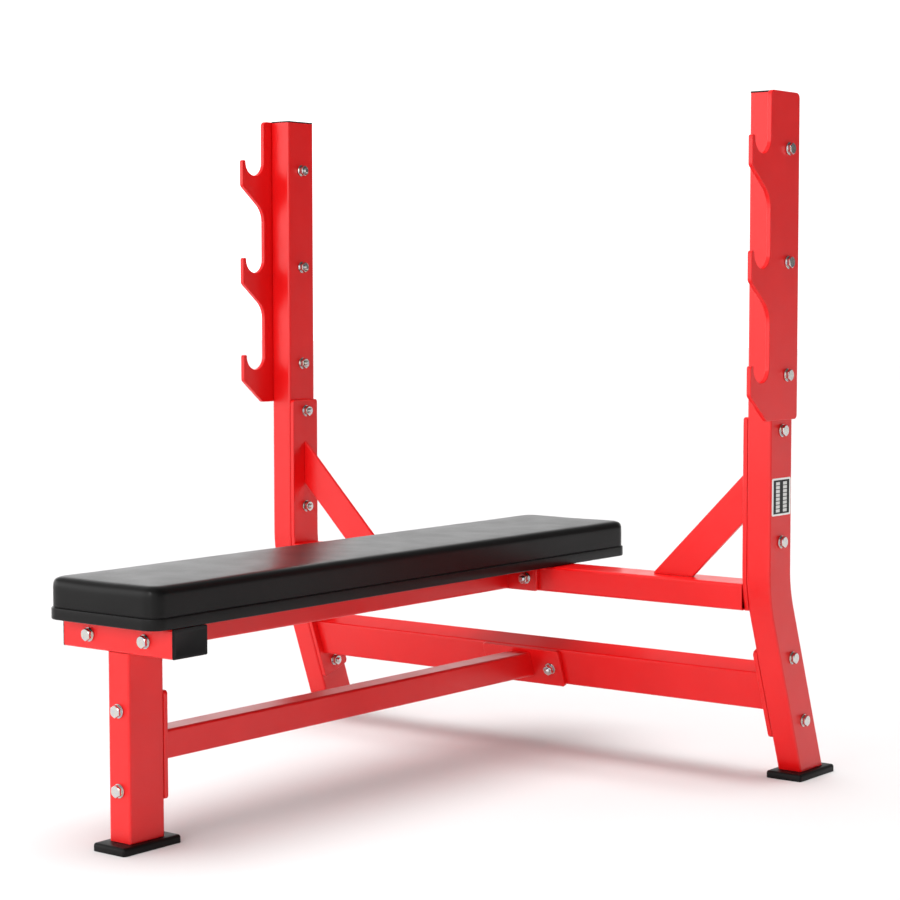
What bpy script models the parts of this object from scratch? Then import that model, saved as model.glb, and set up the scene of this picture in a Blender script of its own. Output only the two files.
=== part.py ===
"""Olympic flat bench press: a padded bench bolted to two uprights that carry three pairs of bar hooks.

Metres, +Z up. +X is the right-hand side of someone standing at the foot end of the bench and looking along +Y
towards the uprights. The floor is Z = 0, and the frame's origin is the middle of the footprint.
"""

import math

import bmesh
import bpy
from mathutils import Matrix, Vector

# ---- driving dimensions ----
OVERALL_WIDTH = 1.240       # across the outer faces of the two upright tubes
OVERALL_HEIGHT = 1.295      # floor to the top of the upright plugs
BAR_HEIGHTS = 1.2095        # floor to the tip of the highest hook
HOOK_PITCH = 0.208          # hook to hook, down the upright
HOOKS = 3                   # hooks on each upright
PAD_LENGTH = 1.372
PAD_WIDTH = 0.260
PAD_OVERHANG = 0.0425       # pad ahead of the front crossbar
FRAME_REACH = 1.061         # front face of the crossbar to the front face of the uprights
FRAME_TOP = 0.383           # floor to the tube faces that the pad rests on

TUBE_W, TUBE_D = 0.050, 0.080   # rectangular tube, narrow and broad side
TUBE_H = TUBE_W                 # height of the tubes that lie flat
WALL = 0.003
TUBE_R = 0.004              # outside corner radius of the tube
PLATE_T = 0.009
PLATE_INSET = 0.001         # plate edge inside the tube's edge
GAP = 0.0003                # between faces that touch
EDGE = 0.0008               # broken edge of a plate

LEAN = math.radians(20)     # the lower legs sweep back by this
BEND_DROP = 0.025           # where the front faces of upright and leg would meet, below FRAME_TOP
BEND_R = 0.250              # centre-line radius of the bend

FOOT_W, FOOT_D, FOOT_H = 0.076, 0.134, 0.014
SPIGOT = 0.022              # how far a foot or plug enters its tube
PLUG_T = 0.0025
CAP_T = 0.002

HOOK_PLATE_BOTTOM = 0.691
HOOK_PLATE_LEAD = 0.024     # front edge of the plate ahead of the tube
HOOK_REACH = 0.090          # tip of a hook ahead of the tube
CRADLE_R = (HOOK_REACH - HOOK_PLATE_LEAD - 0.010) / 2
CRADLE_DROP = 0.004         # centre of the cradle below the tip
HOOK_NOSE = 0.055           # straight front edge of a hook
HOOK_UNDER = math.radians(38.7)
HOOK_FILLET = 0.045
BOLT_BELOW_TIP = 0.0195

UPPER_PLATE_RISE = 0.312    # top edge of the upper mounting plate above FRAME_TOP
UPPER_BOLT_DROP = 0.024     # first bolt below the top edge of the upper mounting plate
UPPER_BOLT_PITCH = 0.208

LOWER_RAISE = 0.0027        # lower crossmember above the middle of the leg's free length
LOWER_PLATE_L = 0.185
LOWER_BOLT_PITCH = 0.134

FLANGE_W = 0.190
FLANGE_BOLTS = 0.138        # bolt spacing on a flange
CROSSBAR_W = 0.260
CROSSBAR_BOLTS = 0.132
LEG_INSET = 0.002           # front leg behind the front face of the crossbar
BEAM_W, BEAM_H = 0.048, 0.050
BEAM_DROP = 0.0077          # centre line of the low beam below the lower crossmember's

BRACE_T = 0.008
BRACE_W = 0.0635
BRACE_RISE = 0.221          # top corner of a brace above the crossmember

BOARD_T = 0.020             # backing board with its wrapped edge
CUSHION_T = 0.052
CUSHION_INSET = 0.003
PAD_CORNER_R = 0.030
PAD_EDGE_R = 0.018
PAD_BOLTS = 0.178           # pad bolt spacing across the bench
PAD_BOLT_BITE = 0.012       # thread inside the board
ACCESS_D = 0.027            # hole in a tube's lower wall, for a pad bolt's head and its socket

BOLT_D, HOLE_D = 0.012, 0.013
HEAD_AF, HEAD_H = 0.019, 0.0075
WASHER_D, WASHER_T = 0.024, 0.0025
NUT_H, THREAD_OUT = 0.010, 0.005

LABEL_W, LABEL_H, LABEL_T = 0.068, 0.070, 0.0006
LABEL_DROP = 0.0195         # middle of the label below the middle of the upper plate's bolts

# ---- lines that follow from them ----
ORIGIN_Y = PAD_LENGTH / 2 - PAD_OVERHANG      # the crossbar's front face is this far ahead of the origin
BAR_Y = -ORIGIN_Y                             # front face of the crossbar
UP_Y = BAR_Y + FRAME_REACH                    # front face of the uprights
XO = OVERALL_WIDTH / 2                        # outer face of an upright
XI = XO - TUBE_W
XP = XI - GAP - PLATE_T                       # inner face of a mounting plate
BEND_Z = FRAME_TOP - BEND_DROP
FRAME_BOTTOM = FRAME_TOP - TUBE_H
LOWER_Z = (FRAME_BOTTOM + FOOT_H) / 2 + LOWER_RAISE
STATION = (BEND_Z + TUBE_D / 2 * math.sin(LEAN) - LOWER_Z) / math.cos(LEAN)   # along the leg from the bend
FRAME_MID = FRAME_TOP - TUBE_H / 2
MID_Y = UP_Y + TUBE_D / 2
LEG_DOWN = Vector((0, math.sin(LEAN), -math.cos(LEAN)))
LEG_BACK = Vector((0, math.cos(LEAN), math.sin(LEAN)))
BEAM_Z = LOWER_Z - BEAM_DROP
LEG_Y = BAR_Y + LEG_INSET                     # front face of the front leg
LEG_BACK_Y = LEG_Y + TUBE_D
BEAM_START = LEG_BACK_Y + GAP + PLATE_T + GAP
UPPER_PLATE_TOP = FRAME_TOP + UPPER_PLATE_RISE
UPPER_BOLTS = [UPPER_PLATE_TOP - UPPER_BOLT_DROP - k * UPPER_BOLT_PITCH for k in range(2)]
LABEL_Z = sum(UPPER_BOLTS) / 2 - LABEL_DROP
HOOK_TIPS = [BAR_HEIGHTS - k * HOOK_PITCH for k in range(HOOKS)]


def leg_point(x, s, n):
    """A point of the swept-back leg: s down along it from the bend, n back from its front face."""
    return Vector((x, UP_Y, BEND_Z)) + LEG_DOWN * s + LEG_BACK * n


for old in list(bpy.data.objects):
    bpy.data.objects.remove(old)


def material(name, colour, roughness, metallic):
    made = bpy.data.materials.new(name)
    made.use_nodes = True
    shader = made.node_tree.nodes["Principled BSDF"]
    shader.inputs["Base Color"].default_value = (*colour, 1)
    shader.inputs["Roughness"].default_value = roughness
    shader.inputs["Metallic"].default_value = metallic
    made.diffuse_color = (*colour, 1)
    return made


RED = material("red_powder_coat", (0.68, 0.018, 0.018), 0.38, 0.0)
ZINC = material("zinc_plated_steel", (0.62, 0.62, 0.62), 0.28, 1.0)
PLASTIC = material("black_moulded_plastic", (0.012, 0.012, 0.012), 0.45, 0.0)
RUBBER = material("black_rubber", (0.010, 0.010, 0.010), 0.75, 0.0)
VINYL = material("black_vinyl", (0.014, 0.014, 0.014), 0.42, 0.0)
LABEL = material("printed_label", (0.02, 0.02, 0.02), 0.35, 0.0)


def add(name, bm, mat, sharp=None):
    """The object of a finished shape. A round one is shaded smooth, with its edges over sharp degrees kept."""
    bmesh.ops.recalc_face_normals(bm, faces=bm.faces)
    mesh = bpy.data.meshes.new(name)
    bm.to_mesh(mesh)
    bm.free()
    obj = bpy.data.objects.new(name, mesh)
    bpy.context.scene.collection.objects.link(obj)
    mesh.materials.append(mat)
    if sharp:
        mesh.shade_smooth()
        mesh.set_sharp_from_angle(angle=math.radians(sharp))
        obj.modifiers.new("flat faces stay flat", "WEIGHTED_NORMAL").keep_sharp = True
    return obj


def rounded(w, h, r, steps=2):
    """A rounded rectangle about the origin, anticlockwise, as 2-D points."""
    points = []
    for quarter, (sx, sy) in enumerate(((1, 1), (-1, 1), (-1, -1), (1, -1))):
        for k in range(steps + 1):
            a = math.radians(90 * quarter + 90 * k / steps)
            points.append((sx * (w / 2 - r) + r * math.cos(a), sy * (h / 2 - r) + r * math.sin(a)))
    return points


def loft(bm, rings, closed_ring=False):
    """Quads between rings of points that have the same count. It returns the rings' vertices."""
    made = [[bm.verts.new(p) for p in ring] for ring in rings]
    pairs = list(zip(made, made[1:])) + ([(made[-1], made[0])] if closed_ring else [])
    for a, b in pairs:
        for k in range(len(a)):
            j = (k + 1) % len(a)
            bm.faces.new((a[k], a[j], b[j], b[k]))
    return made


def solid(name, rings, mat, sharp=None):
    bm = bmesh.new()
    made = loft(bm, rings)
    bm.faces.new(made[0])
    bm.faces.new(made[-1])
    return add(name, bm, mat, sharp)


def tube(name, frames, w, h, mat):
    """An open-ended rectangular tube through frames of (centre, across, up), w across and h up."""
    outer, inner = rounded(w, h, TUBE_R), rounded(w - 2 * WALL, h - 2 * WALL, TUBE_R - WALL)
    place = lambda ring, f: [f[0] + f[1] * a + f[2] * b for a, b in ring]
    bm = bmesh.new()
    loft(bm, [place(outer, f) for f in frames] + [place(inner, f) for f in reversed(frames)], closed_ring=True)
    return add(name, bm, mat, sharp=50)


def straight(name, start, end, across, up, w, h, mat):
    return tube(name, [(Vector(p), Vector(across), Vector(up)) for p in (start, end)], w, h, mat)


def prism(name, outline, low, high, axis, mat, edge=EDGE):
    """A plate: an outline of 2-D points, thick from low to high along an axis of the scene."""
    at = {"X": lambda p, t: (t, p[0], p[1]), "Y": lambda p, t: (p[0], t, p[1])}[axis]
    obj = solid(name, [[at(p, low) for p in outline], [at(p, high) for p in outline]], mat)
    if edge:
        bevel = obj.modifiers.new("broken edge", "BEVEL")
        bevel.width, bevel.segments, bevel.limit_method, bevel.angle_limit = edge, 1, "ANGLE", math.radians(60)
    return obj


def fillet(corner, before, after, r, steps=4):
    """The points of an arc of radius r that rounds a corner between two other points."""
    c = Vector(corner)
    a, b = (Vector(before) - c).normalized(), (Vector(after) - c).normalized()
    half = a.angle(b) / 2
    centre = c + (a + b).normalized() * (r / math.sin(half))
    start, end = c + a * (r / math.tan(half)), c + b * (r / math.tan(half))
    u = start - centre
    turn = u.angle_signed(end - centre)
    return [tuple(centre + Matrix.Rotation(-turn * k / steps, 2) @ u) for k in range(steps + 1)]


def drill(obj, holes, diameter=HOLE_D, sides=16):
    """Cuts round holes: each is (start, end) of the cutter's axis."""
    bm = bmesh.new()
    for start, end in holes:
        start, end = Vector(start), Vector(end)
        axis = (end - start).normalized()
        turn = axis.to_track_quat("Z", "Y").to_matrix().to_4x4()
        spot = Matrix.Translation((start + end) / 2) @ turn
        bmesh.ops.create_cone(bm, cap_ends=True, segments=sides, radius1=diameter / 2, radius2=diameter / 2,
                              depth=(end - start).length, matrix=spot)
    cutter = add(obj.name + "_holes", bm, ZINC)
    cutter.hide_render = True
    cutter.display_type = "WIRE"
    cut = obj.modifiers.new("holes", "BOOLEAN")
    cut.object, cut.operation, cut.solver = cutter, "DIFFERENCE", "EXACT"


def fastener(name, seat, axis, grip, nut=True, sides=12):
    """A hex bolt with its washers and nut, as one body. seat is the face under the head's washer, and axis runs
    from the head to the nut. Without a nut, the thread ends grip below the seat."""
    hexagon = [HEAD_AF / 2 / math.cos(math.radians(30)) if k % 2 == 0 else HEAD_AF / 2 for k in range(sides)]
    circle = lambda d: [d / 2] * sides
    head = -GAP - WASHER_T
    rings = [(head - HEAD_H, circle(HEAD_AF - 0.001)), (head - HEAD_H + 0.0012, hexagon), (head, hexagon),
             (head, circle(WASHER_D)), (-GAP, circle(WASHER_D)), (-GAP, circle(BOLT_D))]
    if nut:
        low = grip + GAP
        top = low + WASHER_T + NUT_H
        rings += [(low, circle(BOLT_D)), (low, circle(WASHER_D)), (low + WASHER_T, circle(WASHER_D)),
                  (low + WASHER_T, hexagon), (top - 0.0012, hexagon), (top, circle(HEAD_AF - 0.001)),
                  (top, circle(BOLT_D - 0.001)), (top + THREAD_OUT, circle(BOLT_D - 0.001))]
    else:
        rings += [(grip, circle(BOLT_D))]
    axis = Vector(axis).normalized()
    spot = Matrix.Translation(Vector(seat)) @ axis.to_track_quat("Z", "Y").to_matrix().to_4x4()
    turns = [2 * math.pi * k / sides for k in range(sides)]
    return solid(name, [[spot @ Vector((r * math.cos(a), r * math.sin(a), z)) for a, r in zip(turns, radii)]
                        for z, radii in rings], ZINC, sharp=35)


def through(point, axis, start, end):
    """The ends of a cutter through point along axis, from start to end measured from it."""
    point, axis = Vector(point), Vector(axis)
    return point + axis * start, point + axis * end


def drill_for_pad(tube_obj, y):
    """A bolt hole in the tube's upper wall and an access hole below it, for each of its two pad bolts."""
    spots = [(k * PAD_BOLTS / 2, y, FRAME_MID) for k in (-1, 1)]
    drill(tube_obj, [through(spot, AXIS_Z, 0, TUBE_H) for spot in spots])
    drill(tube_obj, [through(spot, AXIS_Z, -TUBE_H, 0) for spot in spots], ACCESS_D, 24)


SIDES = (("left", -1), ("right", 1))
AXIS_X, AXIS_Y, AXIS_Z = Vector((1, 0, 0)), Vector((0, 1, 0)), Vector((0, 0, 1))


# ---- uprights: one bent tube on each side ----
def bend_frames(x, top):
    """Frames of the upright's centre line, from its top down to a level cut above the foot."""
    straight_z = BEND_Z + math.tan(LEAN / 2) * (BEND_R + TUBE_D / 2)
    pivot = Vector((x, MID_Y + BEND_R, straight_z))
    frames = [(Vector((x, MID_Y, top)), AXIS_X, AXIS_Y)]
    steps = 6
    for k in range(steps + 1):
        a = LEAN * k / steps
        back = Vector((0, math.cos(a), math.sin(a)))
        frames.append((pivot - back * BEND_R, AXIS_X, back))
    last = frames[-1][0]
    end = last + LEG_DOWN * ((last.z - FOOT_H - GAP) / math.cos(LEAN))
    frames.append((end, AXIS_X, AXIS_Y / math.cos(LEAN)))
    return frames


PLUG_Z = OVERALL_HEIGHT - PLUG_T
for side, s in SIDES:
    x = s * (XO - TUBE_W / 2)
    upright = tube(f"{side}_upright", bend_frames(x, PLUG_Z - GAP), TUBE_W, TUBE_D, RED)
    holes = [through((x, MID_Y, tip - BOLT_BELOW_TIP), AXIS_X, -TUBE_W, TUBE_W) for tip in HOOK_TIPS]
    holes += [through((x, MID_Y, z), AXIS_X, -TUBE_W, TUBE_W) for z in UPPER_BOLTS]
    holes += [through(leg_point(x, STATION + k * LOWER_BOLT_PITCH / 2, TUBE_D / 2), AXIS_X, -TUBE_W, TUBE_W)
              for k in (-1, 1)]
    drill(upright, holes)

# ---- plugs in the open tops of the uprights ----
for side, s in SIDES:
    x = s * (XO - TUBE_W / 2)
    fit = 2 * WALL + 2 * GAP
    ring = lambda w, d, r, z: [(x + a, MID_Y + b, z) for a, b in rounded(w, d, r)]
    solid(f"{side}_top_plug", [
        ring(TUBE_W - fit, TUBE_D - fit, TUBE_R - WALL, PLUG_Z - SPIGOT),
        ring(TUBE_W - fit, TUBE_D - fit, TUBE_R - WALL, PLUG_Z),
        ring(TUBE_W, TUBE_D, TUBE_R, PLUG_Z),
        ring(TUBE_W, TUBE_D, TUBE_R, OVERALL_HEIGHT - 0.001),
        ring(TUBE_W - 0.002, TUBE_D - 0.002, TUBE_R - 0.001, OVERALL_HEIGHT),
    ], PLASTIC, sharp=50)


# ---- rubber feet, each with a spigot that fills the end of its tube ----
def foot(name, x, y, lean):
    fit = 2 * WALL + 2 * GAP
    depth = (TUBE_D - 2 * WALL) / math.cos(lean) - 2 * GAP
    block = lambda inset, z: [(x + a, y + b, z) for a, b in
                              rounded(FOOT_W - 2 * inset, FOOT_D - 2 * inset, 0.008 - inset, 3)]
    plug = lambda z: [(x + a, y + b - (z - FOOT_H) * math.tan(lean), z) for a, b in
                      rounded(TUBE_W - fit, depth, TUBE_R - WALL, 3)]
    solid(name, [block(0.001, 0), block(0, 0.001), block(0, FOOT_H - 0.004), block(0.0012, FOOT_H - 0.0012),
                 block(0.004, FOOT_H), plug(FOOT_H), plug(FOOT_H + SPIGOT)], RUBBER, sharp=50)


REAR_FOOT_Y = leg_point(0, (BEND_Z - FOOT_H) / math.cos(LEAN), 0).y + TUBE_D / 2 / math.cos(LEAN)
for side, s in SIDES:
    foot(f"{side}_foot", s * (XO - TUBE_W / 2), REAR_FOOT_Y, LEAN)
foot("front_foot", 0, LEG_Y + TUBE_D / 2, 0)


# ---- hook plates: three bar hooks cut from one plate, bolted outside each upright ----
def hook_outline():
    """Y and Z of the plate's edge, from the top front corner down the hooks, then up the back."""
    lead, nose = UP_Y - HOOK_PLATE_LEAD, UP_Y - HOOK_REACH
    top, back = OVERALL_HEIGHT - 0.001, UP_Y + TUBE_D
    outline = fillet((lead, top), (back, top), (lead, 0), 0.010)
    tip_in = nose + 0.010
    for k, tip in enumerate(HOOK_TIPS):
        centre = Vector(((lead + tip_in) / 2, tip - CRADLE_DROP))
        outline += [tuple(centre + CRADLE_R * Vector((math.cos(a), -math.sin(a))))
                    for a in (math.pi * j / 14 for j in range(15))]
        outline += fillet((tip_in, tip), (tip_in, 0), (nose, tip), 0.003, 2)
        outline += fillet((nose, tip), (tip_in, tip), (nose, 0), 0.004, 2)
        low = (nose, tip - HOOK_NOSE)
        slope = math.tan(HOOK_UNDER)
        meet = (lead, low[1] - slope * (lead - nose))
        outline += fillet(low, (nose, tip), meet, 0.008, 3)
        if k < HOOKS - 1:
            outline += fillet(meet, low, (lead, 0), HOOK_FILLET, 5)
    bottom = HOOK_PLATE_BOTTOM
    run = (nose + (low[1] - bottom) / slope, bottom)
    outline += fillet(run, low, (back, bottom), 0.006, 2)
    outline += fillet((back, bottom), run, (back, top), 0.008)
    outline += fillet((back, top), (back, bottom), (lead, top), 0.010)
    return outline


for side, s in SIDES:
    faces = sorted((s * (XO + GAP), s * (XO + GAP + PLATE_T)))
    plate = prism(f"{side}_hook_plate", hook_outline(), *faces, "X", RED)
    drill(plate, [through((s * XO, MID_Y, tip - BOLT_BELOW_TIP), AXIS_X, -0.02, 0.02) for tip in HOOK_TIPS])
    for k, tip in enumerate(HOOK_TIPS, 1):
        fastener(f"{side}_hook_bolt_{k}", (s * (XO + GAP + PLATE_T), MID_Y, tip - BOLT_BELOW_TIP), (-s, 0, 0),
                 GAP + PLATE_T + TUBE_W)

# ---- upper mounting plates: they follow the uprights' bend and carry the upper crossmember ----
def plate_outline():
    frames = bend_frames(0, OVERALL_HEIGHT)
    half = TUBE_D / 2 - PLATE_INSET
    front, back = [], []
    for centre, _, across in frames[1:]:
        front.append((centre.y - across.y * half, centre.z - across.z * half))
        back.append((centre.y + across.y * half, centre.z + across.z * half))
    bottom = FRAME_BOTTOM - 0.001
    cut = lambda edge: [p for p in edge if p[1] > bottom + 0.002]
    meet = lambda edge: next(
        (a[0] + (b[0] - a[0]) * (a[1] - bottom) / (a[1] - b[1]), bottom)
        for a, b in zip(edge, edge[1:]) if a[1] > bottom + 0.002 >= b[1] and b[1] < a[1])
    front_low, back_low = meet(front), meet(back)
    y0, y1 = MID_Y - half, MID_Y + half
    outline = fillet((y0, UPPER_PLATE_TOP), (y1, UPPER_PLATE_TOP), (y0, 0), 0.006, 3)
    outline += cut(front) + [front_low, back_low] + cut(back)[::-1]
    outline += fillet((y1, UPPER_PLATE_TOP), (y1, 0), (y0, UPPER_PLATE_TOP), 0.006, 3)
    return outline


for side, s in SIDES:
    faces = sorted((s * (XI - GAP), s * XP))
    plate = prism(f"upper_{side}_mount_plate", plate_outline(), *faces, "X", RED)
    drill(plate, [through((s * XI, MID_Y, z), AXIS_X, -0.02, 0.02) for z in UPPER_BOLTS])
    for k, z in enumerate(UPPER_BOLTS, 1):
        fastener(f"{side}_plate_bolt_{k}", (s * XO, MID_Y, z), (-s, 0, 0), TUBE_W + GAP + PLATE_T)

# ---- upper crossmember, a broad tube lying flat between the mounting plates ----
end = XP - GAP
upper = straight("upper_crossmember", (-end, MID_Y, FRAME_MID), (end, MID_Y, FRAME_MID), AXIS_Y, AXIS_Z,
                 TUBE_D, TUBE_H, RED)
drill(upper, [through((k * FLANGE_BOLTS / 2, MID_Y, FRAME_MID), AXIS_Y, -TUBE_D, TUBE_D) for k in (-1, 1)])
drill_for_pad(upper, MID_Y)

# ---- braces: flat bars at 45 degrees from the crossmember up to the mounting plates ----
for side, s in SIDES:
    high = FRAME_TOP + BRACE_RISE
    foot_z = FRAME_TOP + GAP
    drop = BRACE_W * math.sqrt(2)
    corners = [(end, high), (end, high - drop), (end - (high - drop - foot_z), foot_z),
               (end - (high - foot_z) + 0.003, foot_z), (end - (high - foot_z) + 0.003, foot_z + 0.003)]
    outline = [(s * a, b) for a, b in corners]
    prism(f"{side}_brace", outline, MID_Y - BRACE_T / 2, MID_Y + BRACE_T / 2, "Y", RED)

# ---- lower mounting plates and the lower crossmember, square to the swept-back legs ----
for side, s in SIDES:
    faces = sorted((s * (XI - GAP), s * XP))
    flat = [leg_point(0, STATION + a, TUBE_D / 2 + b) for b, a in
            rounded(TUBE_D - 2 * PLATE_INSET, LOWER_PLATE_L, 0.008, 3)]
    plate = prism(f"lower_{side}_mount_plate", [(p.y, p.z) for p in flat], *faces, "X", RED)
    spots = [leg_point(s * XI, STATION + k * LOWER_BOLT_PITCH / 2, TUBE_D / 2) for k in (-1, 1)]
    drill(plate, [through(p, AXIS_X, -0.02, 0.02) for p in spots])
    for k, p in enumerate(spots, 1):
        fastener(f"{side}_leg_bolt_{k}", (s * XO, p.y, p.z), (-s, 0, 0), TUBE_W + GAP + PLATE_T)

middle = leg_point(0, STATION, TUBE_D / 2)
lower = straight("lower_crossmember", middle - AXIS_X * end, middle + AXIS_X * end, LEG_BACK, -LEG_DOWN,
                 TUBE_W, TUBE_D, RED)
drill(lower, [through(middle + AXIS_X * (k * FLANGE_BOLTS / 2), LEG_BACK, -TUBE_D, TUBE_D) for k in (-1, 1)])

# ---- front end: T-shaped support of a crossbar on a leg ----
tube_end = CROSSBAR_W / 2 - CAP_T
cross_y = BAR_Y + TUBE_D / 2
bar = straight("front_crossbar", (-tube_end + GAP, cross_y, FRAME_MID), (tube_end - GAP, cross_y, FRAME_MID),
               AXIS_Y, AXIS_Z, TUBE_D, TUBE_H, RED)
drill(bar, [through((k * CROSSBAR_BOLTS / 2, cross_y, FRAME_MID), AXIS_Y, -TUBE_D, TUBE_D) for k in (-1, 1)])
drill_for_pad(bar, cross_y)

for side, s in SIDES:
    fit = 2 * WALL + 2 * GAP
    ring = lambda d, h, r, x: [(s * x, cross_y + a, FRAME_MID + b) for a, b in rounded(d, h, r)]
    solid(f"crossbar_{side}_cap", [
        ring(TUBE_D - fit, TUBE_H - fit, TUBE_R - WALL, tube_end - SPIGOT),
        ring(TUBE_D - fit, TUBE_H - fit, TUBE_R - WALL, tube_end),
        ring(TUBE_D, TUBE_H, TUBE_R, tube_end),
        ring(TUBE_D, TUBE_H, TUBE_R, tube_end + CAP_T - 0.0008),
        ring(TUBE_D - 0.0016, TUBE_H - 0.0016, TUBE_R - 0.0008, tube_end + CAP_T),
    ], PLASTIC, sharp=50)

leg_mid = LEG_Y + TUBE_D / 2
leg = straight("front_leg", (0, leg_mid, FOOT_H + GAP), (0, leg_mid, FRAME_BOTTOM - GAP), AXIS_X, AXIS_Y,
               TUBE_W, TUBE_D, RED)
beam_bolts = [BEAM_Z + k * LOWER_BOLT_PITCH / 2 for k in (1, -1)]
drill(leg, [through((0, leg_mid, z), AXIS_Y, -TUBE_D, TUBE_D) for z in beam_bolts])

# ---- spine under the pad, with a flange on each end ----
front_flange = BAR_Y + TUBE_D + GAP
rear_flange = UP_Y - GAP - PLATE_T
straight("bench_spine", (0, front_flange + PLATE_T + GAP, FRAME_MID), (0, rear_flange - GAP, FRAME_MID),
         AXIS_X, AXIS_Z, TUBE_W, TUBE_H, RED)
for name, y, spacing in (("spine_front_flange", front_flange, CROSSBAR_BOLTS),
                         ("spine_rear_flange", rear_flange, FLANGE_BOLTS)):
    outline = [(a, FRAME_MID + b) for a, b in rounded(FLANGE_W, TUBE_H, 0.004, 2)]
    flange = prism(name, outline, y, y + PLATE_T, "Y", RED)
    drill(flange, [through((k * spacing / 2, y, FRAME_MID), AXIS_Y, -0.02, 0.03) for k in (-1, 1)])
for side, s in SIDES:
    fastener(f"crossbar_bolt_{side}", (s * CROSSBAR_BOLTS / 2, BAR_Y, FRAME_MID), AXIS_Y,
             TUBE_D + GAP + PLATE_T)
    fastener(f"spine_bolt_{side}", (s * FLANGE_BOLTS / 2, UP_Y + TUBE_D, FRAME_MID), -AXIS_Y,
             TUBE_D + GAP + PLATE_T)

# ---- low beam from the front leg back to the lower crossmember ----
face = TUBE_D / 2 - TUBE_W / 2                  # front of the lower crossmember, behind the leg's front face
flange_n = face - GAP - PLATE_T                 # front of its flange
half = TUBE_D / 2
corners = [(a, STATION + b) for a, b in rounded(FLANGE_W, TUBE_D, 0.004, 2)]
rear = solid("low_beam_rear_flange", [[leg_point(a, b, n) for a, b in corners]
                                      for n in (flange_n, flange_n + PLATE_T)], RED)
bevel = rear.modifiers.new("broken edge", "BEVEL")
bevel.width, bevel.segments, bevel.limit_method, bevel.angle_limit = EDGE, 1, "ANGLE", math.radians(60)
spots = [leg_point(k * FLANGE_BOLTS / 2, STATION, flange_n) for k in (-1, 1)]
drill(rear, [through(p, LEG_BACK, -0.02, 0.03) for p in spots])
for side, s in SIDES:
    seat = leg_point(s * FLANGE_BOLTS / 2, STATION, face + TUBE_W)
    fastener(f"low_beam_bolt_{side}", seat, -LEG_BACK, TUBE_W + GAP + PLATE_T)

flat = [(a, BEAM_Z + b) for a, b in rounded(TUBE_W, LOWER_PLATE_L, 0.006, 3)]
front_plate = prism("low_beam_front_flange", flat, LEG_BACK_Y + GAP, LEG_BACK_Y + GAP + PLATE_T, "Y", RED)
drill(front_plate, [through((0, LEG_BACK_Y, z), AXIS_Y, -0.02, 0.03) for z in beam_bolts])
for k, z in enumerate(beam_bolts, 1):
    fastener(f"front_leg_bolt_{k}", (0, LEG_Y, z), AXIS_Y, TUBE_D + GAP + PLATE_T)

# The beam's rear end is cut to the flange's slope.
corner = leg_point(0, 0, flange_n - GAP)
slope = math.tan(LEAN)
cut_y = corner.y + (corner.z - BEAM_Z) * slope
outer, inner = rounded(BEAM_W, BEAM_H, TUBE_R), rounded(BEAM_W - 2 * WALL, BEAM_H - 2 * WALL, TUBE_R - WALL)
flat_end = lambda ring: [(a, BEAM_START, BEAM_Z + b) for a, b in ring]
cut_end = lambda ring: [(a, cut_y - b * slope, BEAM_Z + b) for a, b in ring]
bm = bmesh.new()
loft(bm, [flat_end(outer), cut_end(outer), cut_end(inner), flat_end(inner)], closed_ring=True)
add("low_beam", bm, RED, sharp=50)

# ---- pad: a wrapped board with a firm cushion on it ----
PAD_MID = BAR_Y - PAD_OVERHANG + PAD_LENGTH / 2
board_z = FRAME_TOP + GAP
plan = lambda inset, r, z, steps=5: [(a, PAD_MID + b, z) for a, b in
                                     rounded(PAD_WIDTH - 2 * inset, PAD_LENGTH - 2 * inset, r, steps)]
board_top = board_z + BOARD_T
board = solid("pad_board", [plan(0.002, PAD_CORNER_R - 0.002, board_z), plan(0, PAD_CORNER_R, board_z + 0.002),
                            plan(0, PAD_CORNER_R, board_top - 0.004),
                            plan(CUSHION_INSET, PAD_CORNER_R - CUSHION_INSET, board_top)], VINYL, sharp=50)
pad_spots = [(s * PAD_BOLTS / 2, y) for y in (cross_y, MID_Y) for _, s in SIDES]
drill(board, [((x, y, board_z - 0.01), (x, y, board_z + PAD_BOLT_BITE + 0.002)) for x, y in pad_spots])
low = board_top + GAP
high = low + CUSHION_T
rings = [plan(CUSHION_INSET, PAD_CORNER_R - CUSHION_INSET, low)]
for k in range(5):
    a = math.radians(90 * k / 4)
    inset = CUSHION_INSET + PAD_EDGE_R * (1 - math.cos(a))
    rings.append(plan(inset, PAD_CORNER_R - inset, high - PAD_EDGE_R * (1 - math.sin(a))))
solid("pad_cushion", rings, VINYL, sharp=50)
for (x, y), name in zip(pad_spots, ("front_left", "front_right", "rear_left", "rear_right")):
    fastener(f"pad_bolt_{name}", (x, y, FRAME_TOP - WALL), AXIS_Z, WALL + GAP + PAD_BOLT_BITE, nut=False)

# ---- plain label plate on the right upright's outer face ----
outline = [(MID_Y + a, LABEL_Z + b) for a, b in rounded(LABEL_W, LABEL_H, 0.003, 2)]
prism("right_label", outline, XO + 0.0001, XO + 0.0001 + LABEL_T, "X", LABEL, edge=0)
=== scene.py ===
# %% [markdown]
# # An olympic flat bench press
#
# A steel frame of powder-coated rectangular tube carries a long padded bench, and two tall uprights hold
# the bar on three pairs of hooks. The frame's tubes and plates come from a CAD model that is loaded first
# and never moved. This lesson gives them their finishes, and builds finer pieces where the CAD model
# holds only a plain solid: the foam cushion, the wrapped edge of its board, the bolts, the rubber feet
# and the plastic caps.

# %% Load the frame
import math

import bmesh
import bpy
import numpy as np
from mathutils import Matrix, Vector


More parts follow.
